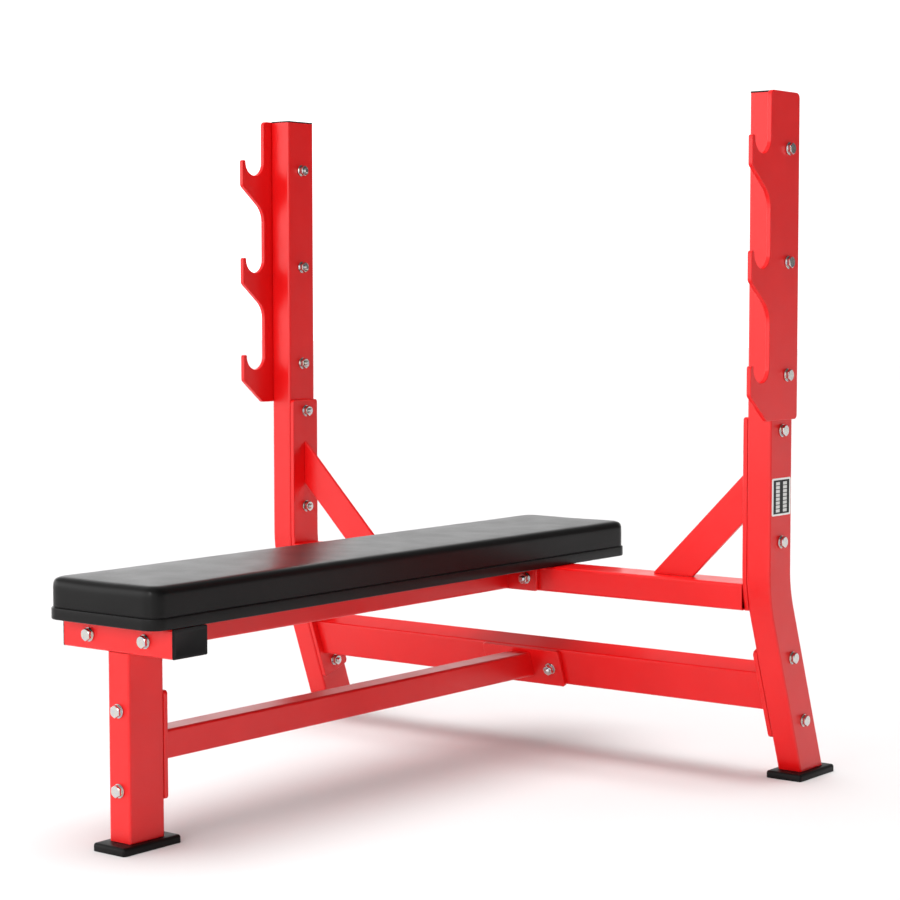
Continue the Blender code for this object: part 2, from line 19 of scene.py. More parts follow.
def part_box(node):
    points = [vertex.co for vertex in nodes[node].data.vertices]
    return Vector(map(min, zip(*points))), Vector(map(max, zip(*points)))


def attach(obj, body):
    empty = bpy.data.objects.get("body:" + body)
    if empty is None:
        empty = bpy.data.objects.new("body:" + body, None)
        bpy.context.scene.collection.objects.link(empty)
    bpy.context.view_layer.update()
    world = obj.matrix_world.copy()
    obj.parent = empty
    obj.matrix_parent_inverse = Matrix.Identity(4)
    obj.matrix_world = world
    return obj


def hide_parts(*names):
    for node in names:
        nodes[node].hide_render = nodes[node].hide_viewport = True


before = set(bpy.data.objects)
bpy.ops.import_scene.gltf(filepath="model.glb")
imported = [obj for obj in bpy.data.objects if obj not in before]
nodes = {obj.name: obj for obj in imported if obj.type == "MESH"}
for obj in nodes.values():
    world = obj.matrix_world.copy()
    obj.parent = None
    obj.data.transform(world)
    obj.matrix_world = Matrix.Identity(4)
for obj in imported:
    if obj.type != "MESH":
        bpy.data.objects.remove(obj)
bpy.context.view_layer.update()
MM = 0.001
AXIS_X, AXIS_Y, AXIS_Z = Vector((1, 0, 0)), Vector((0, 1, 0)), Vector((0, 0, 1))

# %% [markdown]
# ## The camera and the light
#
# The camera stands at the right of the bench's foot end, a little above the pad, with a long lens that
# keeps the uprights nearly parallel. A white sky that is brighter on one side is the simplest soft
# studio: it wraps the object in light with no hard shadow, and its dimmer side keeps one face of each
# tube darker than the other. The sky is a band of white paper low down with a dimmer dome above, so a
# rounded edge picks up a dark line where it turns past the paper.
#
# A broad sun straight overhead, like a ceiling of diffusers, sets the soft shadow under the bench. It is
# left out of reflections, so the tops of the bolts stay dark. One large panel in front lifts the faces
# that look forward. The camera sees plain white behind.

# %% Camera
LENS_MM, SENSOR_MM = 90.6, 36
CAMERA_PLACE = (2.7188, -3.2295, 0.9254)
CAMERA_TURN, CAMERA_DIP, CAMERA_ROLL = 37.997, 3.958, -0.05     # degrees


def add_camera():
    """A camera that turns to the left about Z, dips below the horizontal, and rolls a little."""
    lens = bpy.data.cameras.new("studio_camera")
    lens.lens, lens.sensor_width = LENS_MM, SENSOR_MM
    lens.clip_end = 100
    made = bpy.data.objects.new("studio_camera", lens)
    bpy.context.scene.collection.objects.link(made)
    made.location = CAMERA_PLACE
    turn, tilt, roll = (math.radians(a) for a in (CAMERA_TURN, 90 - CAMERA_DIP, CAMERA_ROLL))
    made.rotation_euler = (Matrix.Rotation(turn, 3, "Z") @ Matrix.Rotation(tilt, 3, "X")
                           @ Matrix.Rotation(roll, 3, "Z")).to_euler()
    bpy.context.scene.camera = made
    return made


camera = add_camera()
bpy.context.scene.view_settings.view_transform = "Standard"
print("camera at", [round(v, 3) for v in camera.location], "lens", round(camera.data.lens, 1), "mm")


# %% [markdown]
# Every material and the sky are node trees, so one small function serves them all: it adds a node, sets
# its values and links its inputs. A link is written as the output socket that feeds the input. Colours
# are written in hex as a screen shows them, and one function turns them to the linear values that light
# is reckoned in.


# %% Node helper and colours
def feed(tree, node, inputs):
    """Gives each named or numbered input of the node its value, or links it to an output socket."""
    for name, value in inputs.items():
        if isinstance(value, bpy.types.NodeSocket):
            tree.links.new(value, node.inputs[name])
        else:
            node.inputs[name].default_value = value


def add_node(tree, kind, inputs=None, out=None, **settings):
    """Adds a node of that kind. Returns its output of the name or number out, or the node if out is left."""
    node = tree.nodes.new(kind)
    for name, value in settings.items():
        setattr(node, name, value)
    feed(tree, node, inputs or {})
    return node if out is None else node.outputs[out]


def linear(hex_colour):
    """The linear RGBA of an sRGB hex colour such as 'c81e1e'."""
    channels = [int(hex_colour[k:k + 2], 16) / 255 for k in (0, 2, 4)]
    return (*[c / 12.92 if c <= 0.04045 else ((c + 0.055) / 1.055) ** 2.4 for c in channels], 1)


print("linear mid grey", [round(v, 3) for v in linear("808080")])

# %% Sky
BRIGHT_SIDE = (-0.81, -0.59, 0.0)
SKY_DIM, SKY_BRIGHT = 0.06, 2.7
PAPER_TOP, DOME_START, DOME_SHARE = 0.22, 0.50, 0.30     # sines of elevations, and the dome's share of light


def add_sky():
    """A white sky, brightest to the front left, dimmest to the back right, and dimmer above than low down."""
    world = bpy.data.worlds.new("studio_sky")
    bpy.context.scene.world = world
    world.use_nodes = True
    tree = world.node_tree
    tree.nodes.clear()
    way = add_node(tree, "ShaderNodeTexCoord", out="Generated")
    across = add_node(tree, "ShaderNodeVectorMath", {0: way, 1: BRIGHT_SIDE}, "Value",
                      operation="DOT_PRODUCT")
    side = add_node(tree, "ShaderNodeMapRange", {"Value": across, "From Min": -1.0, "From Max": 1.0,
                                                 "To Min": SKY_DIM, "To Max": SKY_BRIGHT}, "Result")
    height = add_node(tree, "ShaderNodeSeparateXYZ", {"Vector": way}, "Z")
    dome = add_node(tree, "ShaderNodeMapRange", {"Value": height, "From Min": PAPER_TOP,
                                                 "From Max": DOME_START, "To Min": 1.0,
                                                 "To Max": DOME_SHARE}, "Result",
                    interpolation_type="SMOOTHSTEP")
    level = add_node(tree, "ShaderNodeMath", {0: side, 1: dome}, "Value", operation="MULTIPLY")
    paper = add_node(tree, "ShaderNodeLightPath", out="Is Camera Ray")
    seen = add_node(tree, "ShaderNodeMath", {0: level, 1: paper}, "Value", operation="MAXIMUM")
    sky = add_node(tree, "ShaderNodeBackground", {"Color": (1, 1, 1, 1), "Strength": seen}, "Background")
    add_node(tree, "ShaderNodeOutputWorld", {"Surface": sky})
    return world


print(add_sky().name, "from", SKY_DIM, "to", SKY_BRIGHT)

# %% Lights and floor
PANEL_PLACE, PANEL_AIM = Vector((0.45, -2.9, 1.35)), Vector((-0.2, 0.4, 0.7))
PANEL_SIZE, PANEL_WATTS = 1.2, 20
CEILING_STRENGTH, CEILING_WIDTH = 2.9, math.radians(50)
FLOOR_SIZE = 60


def add_light(name, kind, energy):
    light = bpy.data.lights.new(name, kind)
    light.energy = energy
    lamp = bpy.data.objects.new(name, light)
    bpy.context.scene.collection.objects.link(lamp)
    return lamp


def deselect_all():
    """An operator acts on all that is selected, so each step starts from nothing selected."""
    for obj in bpy.context.selected_objects:
        obj.select_set(False)


panel = add_light("front_panel", "AREA", PANEL_WATTS)
panel.data.size = PANEL_SIZE
panel.location = PANEL_PLACE
panel.rotation_euler = (PANEL_AIM - PANEL_PLACE).to_track_quat("-Z", "Y").to_euler()
ceiling = add_light("overhead_sun", "SUN", CEILING_STRENGTH)
ceiling.data.angle = CEILING_WIDTH
ceiling.visible_glossy = False
deselect_all()
bpy.ops.mesh.primitive_plane_add(size=FLOOR_SIZE, location=(0, 0, 0))
floor = bpy.context.object
floor.name = "studio_floor"
print("floor", floor.name, "and", panel.name, panel.data.energy, "W")

# %% [markdown]
# ## The finishes
#
# Each finish starts from how the real surface is made. Patterns read Object coordinates, which are metres
# from the bench's own origin here, so a pattern's scale is one over the size of its grain in metres. Most
# values of a noise lie between 0.3 and 0.7, so that is the stretch that a Map Range node spreads over a
# finish's range.

# %% Pattern sizes
MIDDLE = {"From Min": 0.3, "From Max": 0.7}


def grain(size_mm):
    """The scale that gives a pattern grains of about that size."""
    return 1 / (size_mm * MM)


def start_material(name):
    """A material with one Principled shader, and its Object coordinates."""
    made = bpy.data.materials.new(name)
    made.use_nodes = True
    tree = made.node_tree
    place = add_node(tree, "ShaderNodeTexCoord", out="Object")
    return made, tree, tree.nodes["Principled BSDF"], place


print("a 2 mm grain has scale", round(grain(2)))

# %% [markdown]
# ### Red powder coat
#
# The frame is sprayed with polyester powder and baked. The powder melts into a glossy skin with a faint
# orange peel, a millimetre or two from crest to crest, and it draws back a little from sharp edges. A soft
# edge is what the eye looks for on coated steel, so the Bevel node rounds each edge's shading by a millimetre
# or so. The same node also tells where an edge is, and there the colour is mixed toward a paler red: a
# painted highlight along every edge. The real peel would be too fine to show, so it is drawn a little
# coarser.


# %% Red powder coat
def powder_coat():
    made, tree, shader, place = start_material("red_polyester_powder_coat")
    cloud = add_node(tree, "ShaderNodeTexNoise", {"Vector": place, "Scale": grain(160), "Detail": 3}, "Fac")
    share = add_node(tree, "ShaderNodeMapRange", {"Value": cloud, **MIDDLE}, "Result")
    coat = add_node(tree, "ShaderNodeMix", {0: share, 6: linear("de0709"), 7: linear("e60f11")}, 2,
                    data_type="RGBA")
    soft = add_node(tree, "ShaderNodeBevel", {"Radius": 1.4 * MM}, "Normal", samples=4)
    face = add_node(tree, "ShaderNodeNewGeometry", out="True Normal")
    turn = add_node(tree, "ShaderNodeVectorMath", {0: soft, 1: face}, "Value", operation="DOT_PRODUCT")
    # Painted highlight: along every edge the colour is lightened toward a paler red, as if light caught it
    # there.
    edge_highlight = add_node(tree, "ShaderNodeMapRange", {"Value": turn, "From Min": 0.80, "From Max": 0.999,
                                                 "To Min": 0.25, "To Max": 0.0}, "Result")
    colour = add_node(tree, "ShaderNodeMix", {0: edge_highlight, 6: coat, 7: linear("f03a38")}, 2, data_type="RGBA")
    haze = add_node(tree, "ShaderNodeTexNoise", {"Vector": place, "Scale": grain(35), "Detail": 4}, "Fac")
    rough = add_node(tree, "ShaderNodeMapRange", {"Value": haze, **MIDDLE, "To Min": 0.29, "To Max": 0.35},
                     "Result")
    peel = add_node(tree, "ShaderNodeTexNoise", {"Vector": place, "Scale": grain(3.0), "Detail": 1}, "Fac")
    bump = add_node(tree, "ShaderNodeBump", {"Strength": 0.07, "Distance": 0.25 * MM, "Height": peel,
                                             "Normal": soft}, "Normal")
    feed(tree, shader, {"Base Color": colour, "Roughness": rough, "IOR": 1.48, "Normal": bump})
    return made


RED = powder_coat()
print(RED.name, len(RED.node_tree.nodes), "nodes")

# %% [markdown]
# ### Bright zinc plate
#
# The bolts are steel, plated with a few microns of zinc and passivated, which leaves a bright grey metal
# with a trace of blue and straw. The plating bath leaves it faintly cloudy, and handling adds fine
# scratches, which run one way here because the noise is squeezed along one axis.


# %% Zinc plate
def zinc_plate():
    made, tree, shader, place = start_material("bright_zinc_plate")
    cloud = add_node(tree, "ShaderNodeTexNoise", {"Vector": place, "Scale": grain(7), "Detail": 3}, "Fac")
    share = add_node(tree, "ShaderNodeMapRange", {"Value": cloud, **MIDDLE}, "Result")
    tint = add_node(tree, "ShaderNodeMix", {0: share, 6: linear("c4c8d0"), 7: linear("d6d0c2")}, 2,
                    data_type="RGBA")
    squeezed = add_node(tree, "ShaderNodeMapping", {"Vector": place, "Rotation": (0.4, 0.7, 0.2),
                                                    "Scale": (1.0, 9.0, 1.0)}, "Vector")
    fine = add_node(tree, "ShaderNodeTexNoise", {"Vector": squeezed, "Scale": grain(2.5), "Detail": 3}, "Fac")
    rough = add_node(tree, "ShaderNodeMapRange", {"Value": fine, **MIDDLE, "To Min": 0.12, "To Max": 0.22},
                     "Result")
    bump = add_node(tree, "ShaderNodeBump", {"Strength": 0.12, "Distance": 0.05 * MM, "Height": fine},
                    "Normal")
    feed(tree, shader, {"Base Color": tint, "Metallic": 1.0, "Roughness": rough, "Normal": bump})
    return made


ZINC = zinc_plate()
print(ZINC.name, len(ZINC.node_tree.nodes), "nodes")

# %% [markdown]
# ### Black plastic, rubber and vinyl
#
# Three blacks sit side by side, and only their surfaces tell them apart. The caps are polyethylene
# moulded in a spark-eroded tool, so they have an even fine texture. The feet are rubber, duller and dusty
# near the floor. The pad's cover is PVC-coated cloth: smooth and satin, with a shallow leather grain of
# small cells that the embosser pressed in, and light runs along it in soft bands where the foam below
# lifts or drops it. The moulded textures and the leather grain are drawn a little coarser than real, so
# that they show.


# %% Black plastic
def moulded_plastic():
    made, tree, shader, place = start_material("black_polyethylene")
    cloud = add_node(tree, "ShaderNodeTexNoise", {"Vector": place, "Scale": grain(30)}, "Fac")
    colour = add_node(tree, "ShaderNodeMix", {0: cloud, 6: linear("0b0b0c"), 7: linear("121213")}, 2,
                      data_type="RGBA")
    grit = add_node(tree, "ShaderNodeTexNoise", {"Vector": place, "Scale": grain(0.9), "Detail": 1}, "Fac")
    rough = add_node(tree, "ShaderNodeMapRange", {"Value": grit, **MIDDLE, "To Min": 0.36, "To Max": 0.50},
                     "Result")
    soft = add_node(tree, "ShaderNodeBevel", {"Radius": 0.8 * MM}, "Normal", samples=4)
    bump = add_node(tree, "ShaderNodeBump", {"Strength": 0.25, "Distance": 0.06 * MM, "Height": grit,
                                             "Normal": soft}, "Normal")
    feed(tree, shader, {"Base Color": colour, "Roughness": rough, "IOR": 1.28, "Normal": bump})
    return made


PLASTIC = moulded_plastic()
print(PLASTIC.name, len(PLASTIC.node_tree.nodes), "nodes")

# %% Rubber
DUST_HEIGHT = 8 * MM


def foot_rubber():
    made, tree, shader, place = start_material("black_foot_rubber")
    height = add_node(tree, "ShaderNodeSeparateXYZ", {"Vector": place}, "Z")
    low = add_node(tree, "ShaderNodeMapRange", {"Value": height, "From Min": 0.0, "From Max": DUST_HEIGHT,
                                                "To Min": 1.0, "To Max": 0.0}, "Result")
    flecks = add_node(tree, "ShaderNodeTexNoise", {"Vector": place, "Scale": grain(12), "Detail": 4}, "Fac")
    dust = add_node(tree, "ShaderNodeMath", {0: low, 1: flecks}, "Value", operation="MULTIPLY")
    share = add_node(tree, "ShaderNodeMapRange", {"Value": dust, "From Min": 0.3, "From Max": 0.8,
                                                  "To Min": 0, "To Max": 0.35}, "Result")
    colour = add_node(tree, "ShaderNodeMix", {0: share, 6: linear("090808"), 7: linear("2b2725")}, 2,
                      data_type="RGBA")
    grit = add_node(tree, "ShaderNodeTexNoise", {"Vector": place, "Scale": grain(1.2)}, "Fac")
    rough = add_node(tree, "ShaderNodeMapRange", {"Value": grit, **MIDDLE, "To Min": 0.38, "To Max": 0.55},
                     "Result")
    bump = add_node(tree, "ShaderNodeBump", {"Strength": 0.25, "Distance": 0.08 * MM, "Height": grit},
                    "Normal")
    feed(tree, shader, {"Base Color": colour, "Roughness": rough, "IOR": 1.28, "Normal": bump})
    return made


RUBBER = foot_rubber()
print(RUBBER.name, len(RUBBER.node_tree.nodes), "nodes")


# %% Vinyl
def pad_vinyl(name, cell_mm, depth):
    """Embossed vinyl with leather cells of that size. Its creases are as deep as depth says, from 0 to 1."""
    made, tree, shader, place = start_material(name)
    cloud = add_node(tree, "ShaderNodeTexNoise", {"Vector": place, "Scale": grain(90), "Detail": 3}, "Fac")
    colour = add_node(tree, "ShaderNodeMix", {0: cloud, 6: linear("090808"), 7: linear("0f0e0e")}, 2,
                      data_type="RGBA")
    wander = add_node(tree, "ShaderNodeTexNoise", {"Vector": place, "Scale": grain(2 * cell_mm)}, "Color")
    bent = add_node(tree, "ShaderNodeVectorMath", {0: wander, 1: (1.5 * MM,) * 3, 2: place}, "Vector",
                    operation="MULTIPLY_ADD")
    cells = add_node(tree, "ShaderNodeTexVoronoi", {"Vector": bent, "Scale": grain(cell_mm)}, "Distance",
                     feature="DISTANCE_TO_EDGE")
    creases = add_node(tree, "ShaderNodeMapRange", {"Value": cells, "From Min": 0.0, "From Max": 0.18,
                                                    "To Min": 0.0, "To Max": 1.0}, "Result")
    swell = add_node(tree, "ShaderNodeTexNoise", {"Vector": place, "Scale": grain(55), "Detail": 1}, "Fac")
    rough = add_node(tree, "ShaderNodeMapRange", {"Value": swell, **MIDDLE, "To Min": 0.285, "To Max": 0.32},
                     "Result")
    wave = add_node(tree, "ShaderNodeBump", {"Strength": 0.12, "Distance": 1.2 * MM, "Height": swell},
                    "Normal")
    bump = add_node(tree, "ShaderNodeBump", {"Strength": depth, "Distance": 0.10 * MM, "Height": creases,
                                             "Normal": wave}, "Normal")
    feed(tree, shader, {"Base Color": colour, "Roughness": rough, "IOR": 1.27, "Normal": bump})
    return made


VINYL = pad_vinyl("black_embossed_vinyl", 1.6, 0.20)
EDGE_VINYL = pad_vinyl("black_edge_vinyl", 1.1, 0.20)
print(VINYL.name, "and", EDGE_VINYL.name)

# %% [markdown]
# ### The label
#
# A printed film stands on the right upright. Its print is generic: a white border round a black field
# with two rows of plain blocks where a maker would put words. It is drawn from the label's own place and
# size, so it stays sharp at any distance.

# %% Label film
BORDER_WIDTH, BORDER_HEIGHT = 10 * MM, 7 * MM
BAR_OFFSET, BAR_SIZE = 13 * MM, (14 * MM, 58 * MM)
BLOCK_PITCH = 3.6 * MM


def box_mask(tree, y, z, centre, size, softness=0.15 * MM):
    """1 inside a rectangle of the label's face, 0 outside it."""
    shares = []
    for value, middle, whole in ((y, centre[0], size[0]), (z, centre[1], size[1])):
        away = add_node(tree, "ShaderNodeMath", {0: value, 1: middle}, "Value", operation="SUBTRACT")
        away = add_node(tree, "ShaderNodeMath", {0: away}, "Value", operation="ABSOLUTE")
        shares.append(add_node(tree, "ShaderNodeMapRange",
                               {"Value": away, "From Min": whole / 2 - softness,
                                "From Max": whole / 2 + softness, "To Min": 1, "To Max": 0}, "Result"))
    return add_node(tree, "ShaderNodeMath", {0: shares[0], 1: shares[1]}, "Value", operation="MULTIPLY")


def label_film(node):
    made, tree, shader, place = start_material("printed_label_film")
    low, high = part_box(node)
    mid, size = (low + high) / 2, high - low
    parts = add_node(tree, "ShaderNodeSeparateXYZ", {"Vector": place})
    y, z = parts.outputs["Y"], parts.outputs["Z"]
    field = box_mask(tree, y, z, (mid.y, mid.z), (size.y - BORDER_WIDTH, size.z - BORDER_HEIGHT))
    colour = add_node(tree, "ShaderNodeMix", {0: field, 6: linear("f2f2f0"), 7: linear("0d0d0e")}, 2,
                      data_type="RGBA")
    wave = add_node(tree, "ShaderNodeMath", {0: z, 1: BLOCK_PITCH, 2: 0.0}, "Value", operation="PINGPONG")
    blocks = add_node(tree, "ShaderNodeMapRange", {"Value": wave, "From Min": 0.5 * MM, "From Max": 0.9 * MM,
                                                   "To Min": 0, "To Max": 1}, "Result")
    for side in (-1, 1):
        bar = box_mask(tree, y, z, (mid.y + side * BAR_OFFSET, mid.z), BAR_SIZE)
        printed = add_node(tree, "ShaderNodeMath", {0: bar, 1: blocks}, "Value", operation="MULTIPLY")
        colour = add_node(tree, "ShaderNodeMix", {0: printed, 6: colour, 7: linear("dededc")}, 2,
                          data_type="RGBA")
    grit = add_node(tree, "ShaderNodeTexNoise", {"Vector": place, "Scale": grain(1.5)}, "Fac")
    rough = add_node(tree, "ShaderNodeMapRange", {"Value": grit, **MIDDLE, "To Min": 0.30, "To Max": 0.40},
                     "Result")
    bump = add_node(tree, "ShaderNodeBump", {"Strength": 0.1, "Distance": 0.03 * MM, "Height": grit},
                    "Normal")
    feed(tree, shader, {"Base Color": colour, "Roughness": rough, "IOR": 1.30, "Normal": bump})
    return made


LABEL = label_film("right_label")
label_low, label_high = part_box("right_label")
print(LABEL.name, "on a label of", [round(v / MM, 1) for v in label_high - label_low], "mm")


# %% Floor paint
def floor_paint():
    made, tree, shader, place = start_material("white_studio_floor")
    cloud = add_node(tree, "ShaderNodeTexNoise", {"Vector": place, "Scale": grain(900)}, "Fac")
    colour = add_node(tree, "ShaderNodeMix", {0: cloud, 6: linear("dcdbdb"), 7: linear("dfdede")}, 2,
                      data_type="RGBA")
    feed(tree, shader, {"Base Color": colour, "Roughness": 0.9, "Specular IOR Level": 0.1})
    return made


floor.data.materials.append(floor_paint())
print("floor paint:", floor.data.materials[0].name)

# %% [markdown]
# ## Finishes on the CAD pieces
#
# The tubes, plates, braces and the label keep their CAD shapes. Each node's finish follows from what it
# is, and its name says that.

# %% Assign finishes
FINISH_BY_WORD = (("label", LABEL), ("bolt", ZINC), ("foot", RUBBER), ("plug", PLASTIC), ("cap", PLASTIC),
                  ("cushion", VINYL), ("pad_board", EDGE_VINYL))
for name, obj in nodes.items():
    finish = next((m for word, m in FINISH_BY_WORD if word in name), RED)
    obj.data.materials.clear()
    obj.data.materials.append(finish)
print({m.name: sum(o.data.materials[0] == m for o in nodes.values()) for m in (RED, ZINC, RUBBER, PLASTIC)})

# %% [markdown]
# ## Modelling helpers
#
# The new pieces are made with Blender's own tools, as by hand: add a primitive, shape it in edit mode,
# finish it with modifiers. These helpers do what a hand would do between the tools: select faces or edges
# by where they are, apply a modifier, and settle the finished piece's place in its mesh.


# %% Selecting
def take(obj):
    """Selects the object, and only that one."""
    deselect_all()
    bpy.context.view_layer.objects.active = obj
    obj.select_set(True)


def pick(obj, test, mode="FACE"):
    """Enters edit mode with only the faces, edges or vertices selected that pass the test."""
    if obj.mode != "EDIT":
        take(obj)
        bpy.ops.object.mode_set(mode="EDIT")
    bpy.ops.mesh.select_mode(type=mode)
    bpy.ops.mesh.select_all(action="DESELECT")
    bm = bmesh.from_edit_mesh(obj.data)
    for part in {"FACE": bm.faces, "EDGE": bm.edges, "VERT": bm.verts}[mode]:
        if test(part):
            part.select_set(True)
    bm.select_flush_mode()
    bmesh.update_edit_mesh(obj.data)


def leave_edit(obj):
    if obj.mode == "EDIT":
        bpy.ops.object.mode_set(mode="OBJECT")


def corners(points):
    """The lowest and the highest corner of the box round a list of points."""
    return [Vector([end(p[k] for p in points) for k in range(3)]) for end in (min, max)]


print("selecting helpers ready; a box from", *[tuple(c) for c in corners([AXIS_X, AXIS_Y])])


# %% Finishing a piece
def apply_modifier(obj, kind, **settings):
    leave_edit(obj)
    take(obj)
    modifier = obj.modifiers.new(kind.lower(), kind)
    for name, value in settings.items():
        setattr(modifier, name, value)
    bpy.ops.object.modifier_apply(modifier=modifier.name)


def settle(obj, name, material, smooth_deg=40):
    """Puts the piece's place into its mesh, shades it, and gives it its name and finish."""
    leave_edit(obj)
    obj.name = obj.data.name = name
    obj.data.transform(obj.matrix_world)
    obj.matrix_world = Matrix.Identity(4)
    take(obj)
    bpy.ops.object.shade_smooth_by_angle(angle=math.radians(smooth_deg))
    obj.data.materials.clear()
    obj.data.materials.append(material)
    return obj


def copy_piece(obj, name, spot):
    """A copy with its own mesh, placed by the matrix spot."""
    made = bpy.data.objects.new(name, obj.data.copy())
    bpy.context.scene.collection.objects.link(made)
    made.data.name = name
    made.data.transform(spot)
    return made


def join(pieces, name):
    """The pieces made one object."""
    deselect_all()
    for p in pieces:
        p.select_set(True)
    bpy.context.view_layer.objects.active = pieces[0]
    bpy.ops.object.join()
    pieces[0].name = pieces[0].data.name = name
    return pieces[0]


print("finishing helpers ready")

# %% [markdown]
# ## Bolts, washers and nuts
#
# Each fastener is a 12 mm hex bolt with a washer under its head and another under its nut. The head's and
# the nut's corners are turned off by a chamfer, which leaves the curved facets that every real hex head
# has: a hexagonal prism cut by a flat cone. So that is how they are made here, with a Boolean that keeps
# what the prism and the cone share. Washers and threads are turned shapes, so they are spun from a
# profile. One head, nut and washer are modelled standing on Z, and their copies are placed on each CAD
# bolt.

# %% Fastener sizes
HEAD_AF, HEAD_H = 19 * MM, 7.5 * MM
WASHER_D, WASHER_T = 24 * MM, 2.5 * MM
NUT_H, THREAD_OUT, BOLT_D = 10 * MM, 5 * MM, 12 * MM
THREAD_PITCH = 1.75 * MM
FIT = 0.3 * MM
CHAMFER_ANGLE, CHAMFER_FACE, CHAMFER_REACH = math.radians(30), 0.97 * HEAD_AF / 2, 6 * MM
print("head", HEAD_AF / MM, "mm across its flats")


# %% Hexagons with turned-off corners
def chamfer_cone(height):
    """A long plug from below up to height, whose top is a flat cone."""
    deselect_all()
    bpy.ops.mesh.primitive_cone_add(vertices=96, depth=CHAMFER_REACH, radius2=CHAMFER_FACE,
                                    radius1=CHAMFER_FACE + CHAMFER_REACH / math.tan(CHAMFER_ANGLE),
                                    location=(0, 0, height - CHAMFER_REACH / 2))
    cone = bpy.context.object
    pick(cone, lambda f: f.normal.z < -0.9)
    bpy.ops.mesh.extrude_region_move(TRANSFORM_OT_translate={"value": (0, 0, -height - CHAMFER_REACH)})
    leave_edit(cone)
    return cone


def hexagon(name, height, ends):
    """A hexagonal block from z 0 up to height, with the corners of one or both ends chamfered."""
    deselect_all()
    bpy.ops.mesh.primitive_cylinder_add(vertices=6, radius=HEAD_AF / 2 / math.cos(math.pi / 6), depth=height,
                                        location=(0, 0, height / 2))
    block = bpy.context.object
    turn_over = Matrix.Translation((0, 0, height)) @ Matrix.Rotation(math.pi, 4, "X")
    for end in range(ends):
        cone = chamfer_cone(height)
        if end == 1:
            cone.data.transform(turn_over @ cone.matrix_world)
            cone.matrix_world = Matrix.Identity(4)
        apply_modifier(block, "BOOLEAN", object=cone, operation="INTERSECT", solver="EXACT")
        bpy.data.objects.remove(cone)
    apply_modifier(block, "BEVEL", width=0.25 * MM, segments=2, limit_method="ANGLE",
                   angle_limit=math.radians(50))
    return settle(block, name, ZINC, 28)


head = hexagon("bolt_head", HEAD_H, 1)
nut = hexagon("bolt_nut", NUT_H, 2)
print("head", len(head.data.polygons), "faces; nut", len(nut.data.polygons), "faces")


# %% Turned shapes
def turned(name, profile, steps=40):
    """A shape spun once about Z from a profile of (radius, z) points."""
    deselect_all()
    bpy.ops.mesh.primitive_plane_add(size=1 * MM)
    obj = bpy.context.object
    pick(obj, lambda v: True, "VERT")
    bpy.ops.mesh.delete(type="VERT")
    bm = bmesh.from_edit_mesh(obj.data)
    verts = [bm.verts.new((r, 0, z)) for r, z in profile]
    for a, b in zip(verts, verts[1:]):
        bm.edges.new((a, b))
    bmesh.update_edit_mesh(obj.data)
    bpy.ops.mesh.select_all(action="SELECT")
    bpy.ops.mesh.spin(steps=steps, angle=2 * math.pi, center=(0, 0, 0), axis=(0, 0, 1))
    bpy.ops.mesh.select_all(action="SELECT")
    bpy.ops.mesh.remove_doubles(threshold=0.02 * MM)
    bpy.ops.mesh.normals_make_consistent(inside=False)
    return settle(obj, name, ZINC, 32)


def washer_profile(inner, outer, thick, soft=0.35 * MM):
    return [(inner, 0), (outer - soft, 0), (outer, soft), (outer, thick - soft), (outer - soft, thick),
            (inner, thick), (inner, 0)]


washer = turned("flat_washer", washer_profile(BOLT_D / 2 + 0.3 * MM, WASHER_D / 2, WASHER_T))
print("washer", len(washer.data.polygons), "faces")

# %% Thread
CREST, ROOT = BOLT_D / 2 - 0.3 * MM, BOLT_D / 2 - 1.1 * MM
TIP_CHAMFER = 0.9 * MM
CREST_START, CREST_END = 0.44, 0.56     # a crest's flat, as shares of the pitch


def thread_profile(length, tip):
    """From the axis at the tip, down a thread of that length, to the plain shank."""
    points = [(0, tip), (ROOT - TIP_CHAMFER, tip), (ROOT, tip - TIP_CHAMFER)]
    z = tip - TIP_CHAMFER
    while z > tip - length:
        points += [(CREST, z - THREAD_PITCH * CREST_START), (CREST, z - THREAD_PITCH * CREST_END),
                   (ROOT, z - THREAD_PITCH)]
        z -= THREAD_PITCH
    return points


print("a 12 mm thread has", len(thread_profile(12 * MM, 0)), "points in its profile")

# %% [markdown]
# A CAD bolt gives its own place: the long direction of its points is its axis, the wide end is its head,
# and its length says how thick a stack it clamps. The pad's four bolts have no nut, because they bite in
# the board, and their heads sit inside the tubes, behind access holes.

# %% Read the CAD bolts
LEG_TURN = math.radians(20)     # the rear legs lean back by this, and one pair of bolts is square to them
BOLT_WAYS = (AXIS_X, AXIS_Y, AXIS_Z, Vector((0, math.cos(LEG_TURN), math.sin(LEG_TURN))))


def bolt_line(name):
    """Where a CAD bolt lies: its head's top, the way from head to tip, its length, and if it has a nut."""
    points = [v.co.copy() for v in nodes[name].data.vertices]
    middle = sum(points, Vector()) / len(points)

    def off_axis(p, way):
        return (p - middle - way * (p - middle).dot(way)).length

    axis = min(BOLT_WAYS, key=lambda way: max(off_axis(p, way) for p in points))
    along = [(p - middle).dot(axis) for p in points]
    low, high = min(along), max(along)
    low_width, high_width = (max(off_axis(p, axis) for p, t in zip(points, along) if abs(t - end) < 0.1 * MM)
                             for end in (low, high))
    if low_width < high_width:
        axis, low, high = -axis, -high, -low
    ring_low, ring_high = corners([p - axis * (p - middle).dot(axis) for p in points])
    return (ring_low + ring_high) / 2 + axis * low, axis, high - low, "pad_bolt" not in name


for name in ("left_hook_bolt_1", "low_beam_bolt_left", "pad_bolt_front_left"):
    start, axis, length, has_nut = bolt_line(name)
    print(name, [round(v, 4) for v in start], [round(v, 3) for v in axis], round(length / MM, 2), "mm,",
          "with a nut" if has_nut else "no nut")

# %% Build every fastener
THREADED, THREADED_IN_WOOD = 26 * MM, 12 * MM
NECK = 1 * MM


